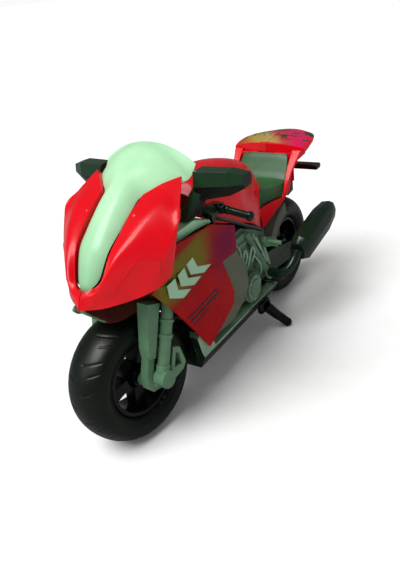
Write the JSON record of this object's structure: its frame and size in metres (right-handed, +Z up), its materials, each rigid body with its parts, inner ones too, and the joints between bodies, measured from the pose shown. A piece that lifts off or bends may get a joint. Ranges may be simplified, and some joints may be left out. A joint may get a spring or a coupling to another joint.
{
  "type": "radio-controlled model motorcycle",
  "caption": "Small radio-controlled sport motorcycle with full fairing, spoked wheels on rubber tyres, servo steering, geared rear drive and short stabiliser legs.",
  "frame": {"origin": "centre of the bounding box footprint, on the ground under the bike", "axes": "-Y towards the front wheel, +X towards the left side of the bike, +Z up"},
  "size_m": [0.141, 0.3436, 0.202],
  "materials": {
    "red_gloss": "high gloss red paint on moulded plastic",
    "mint_gloss": "opaque pale mint, satin gloss",
    "sage_satin": "satin grey-green moulding",
    "olive_satin": "satin olive-grey moulding",
    "dark_green_satin": "satin dark green moulding",
    "seat_green": "satin dark green seat moulding",
    "tyre_rubber": "matt black rubber",
    "black_plastic": "satin black moulding",
    "steel": "turned steel",
    "nylon": "natural nylon",
    "circuit_board": "lacquered circuit board",
    "cell_sleeve": "shrink sleeve"
  },
  "bodies": {
    "chassis": {"steering_servo": "dark_green_satin", "main_frame": "dark_green_satin", "rear_arm_left": "dark_green_satin", "gear_case": "dark_green_satin", "gear_case_cover": "dark_green_satin", "drive_motor": "steel", "rear_hugger": "olive_satin", "battery_pack": "cell_sleeve", "circuit_board": "circuit_board", "belly_pan": "olive_satin", "engine_side_left": "sage_satin", "engine_side_right": "sage_satin", "footrest_left": "sage_satin", "footrest_right": "sage_satin", "side_panel_left": "red_gloss", "side_panel_right": "red_gloss", "inner_cowl_left": "olive_satin", "inner_cowl_right": "olive_satin", "fairing_cheek_left": "red_gloss", "fairing_cheek_right": "red_gloss", "windscreen": "mint_gloss", "cockpit_panel": "mint_gloss", "mirror_left": "dark_green_satin", "mirror_right": "dark_green_satin", "handlebar_left": "dark_green_satin", "handlebar_right": "dark_green_satin", "grip_left": "dark_green_satin", "grip_right": "dark_green_satin", "lever_left": "dark_green_satin", "lever_right": "dark_green_satin", "fuel_tank": "red_gloss", "seat": "seat_green", "tail_cowl_left": "red_gloss", "tail_cowl_right": "red_gloss", "tail_bracket": "black_plastic", "muffler": "dark_green_satin", "exhaust_pipe": "dark_green_satin", "stabiliser_left": "black_plastic", "stabiliser_right": "black_plastic"},
    "front_fork": {"steering_stem": "sage_satin", "fork_leg_left": "sage_satin", "fork_leg_right": "sage_satin", "fork_cover_left": "sage_satin", "fork_cover_right": "sage_satin", "front_axle": "steel", "brake_caliper_left": "sage_satin", "brake_caliper_right": "sage_satin", "front_mudguard": "sage_satin"},
    "front_wheel": {"front_tyre": "tyre_rubber", "front_rim": "black_plastic"},
    "rear_wheel": {"rear_tyre": "tyre_rubber", "rear_rim": "black_plastic", "rear_axle": "steel", "axle_gear": "nylon"},
    "rear_idler": {"idler_gear_rear": "nylon"},
    "front_idler": {"idler_gear_front": "nylon"},
    "drive_pinion": {"motor_pinion": "steel"},
    "servo_gear": {"servo_pinion": "nylon"},
    "battery_hatch": {"battery_door": "olive_satin"},
    "switch_knob": {"power_switch": "red_gloss"}
  },
  "joints": [
    {"name": "steering", "type": "hinge", "parent": "chassis", "child": "front_fork", "pos_m": [0, -0.09934, 0.0954], "axis": [0, 0.342, 0.9397], "range_deg": [-4.5, 23.5]},
    {"name": "front_wheel_spin", "type": "hinge", "parent": "front_fork", "child": "front_wheel", "pos_m": [-0.00115, -0.12375, 0.04847], "axis": [0.9863, -0.1551, 0.0564], "continuous": true},
    {"name": "servo_turn", "type": "hinge", "parent": "chassis", "child": "servo_gear", "pos_m": [0, -0.08008, 0.08839], "axis": [0, 0.342, 0.9397], "range_deg": [-84.2, 16.7]},
    {"name": "rear_wheel_spin", "type": "hinge", "parent": "chassis", "child": "rear_wheel", "pos_m": [0, 0.11416, 0.0485], "axis": [1, 0, 0], "continuous": true},
    {"name": "rear_idler_spin", "type": "hinge", "parent": "chassis", "child": "rear_idler", "pos_m": [-0.0254, 0.09016, 0.05455], "axis": [1, 0, 0], "continuous": true},
    {"name": "front_idler_spin", "type": "hinge", "parent": "chassis", "child": "front_idler", "pos_m": [-0.0254, 0.0665, 0.05857], "axis": [1, 0, 0], "continuous": true},
    {"name": "drive_pinion_spin", "type": "hinge", "parent": "chassis", "child": "drive_pinion", "pos_m": [-0.0254, 0.05036, 0.062], "axis": [1, 0, 0], "continuous": true},
    {"name": "battery_hatch_hinge", "type": "hinge", "parent": "chassis", "child": "battery_hatch", "pos_m": [0, 0.00516, 0.029], "axis": [1, 0, 0], "range_deg": [0, 75]},
    {"name": "power_switch_slide", "type": "slide", "parent": "chassis", "child": "switch_knob", "axis": [0, 1, 0], "range_m": [0, 0.0034]}
  ],
  "couplings": [
    {"joint": "servo_turn", "follows": "steering", "ratio": -3.5556},
    {"joint": "rear_idler_spin", "follows": "rear_wheel_spin", "ratio": -1.0625},
    {"joint": "front_idler_spin", "follows": "rear_wheel_spin", "ratio": 1.0625},
    {"joint": "drive_pinion_spin", "follows": "rear_wheel_spin", "ratio": -2.8333}
  ]
}
